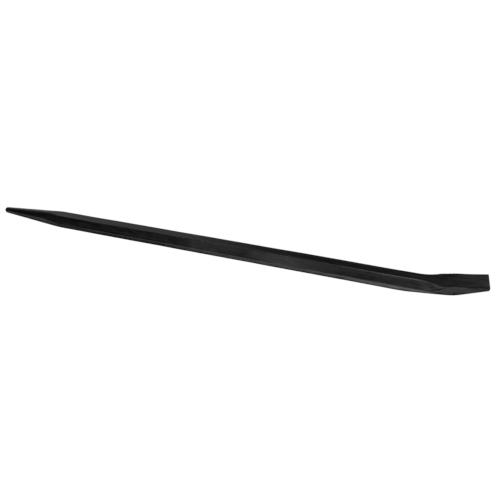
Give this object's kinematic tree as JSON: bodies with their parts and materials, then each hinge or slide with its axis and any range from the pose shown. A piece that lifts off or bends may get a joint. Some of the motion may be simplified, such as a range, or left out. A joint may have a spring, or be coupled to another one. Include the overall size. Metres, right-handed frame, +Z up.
{
  "type": "pry bar",
  "caption": "One-piece forged hexagonal steel bar with a long round point at one end and a raised, flared chisel at the other.",
  "frame": {"origin": "under the middle of the bar's length, on the flat of the hexagon that the bar lies on", "axes": "+X along the bar towards the chisel's edge, +Z up, the way the chisel rises, +Y across the bar"},
  "size_m": [0.6096, 0.0228, 0.0283],
  "materials": {
    "forged_steel": "blackened satin forged skin"
  },
  "bodies": {
    "root": {"forged_bar": "forged_steel"}
  },
  "joints": []
}
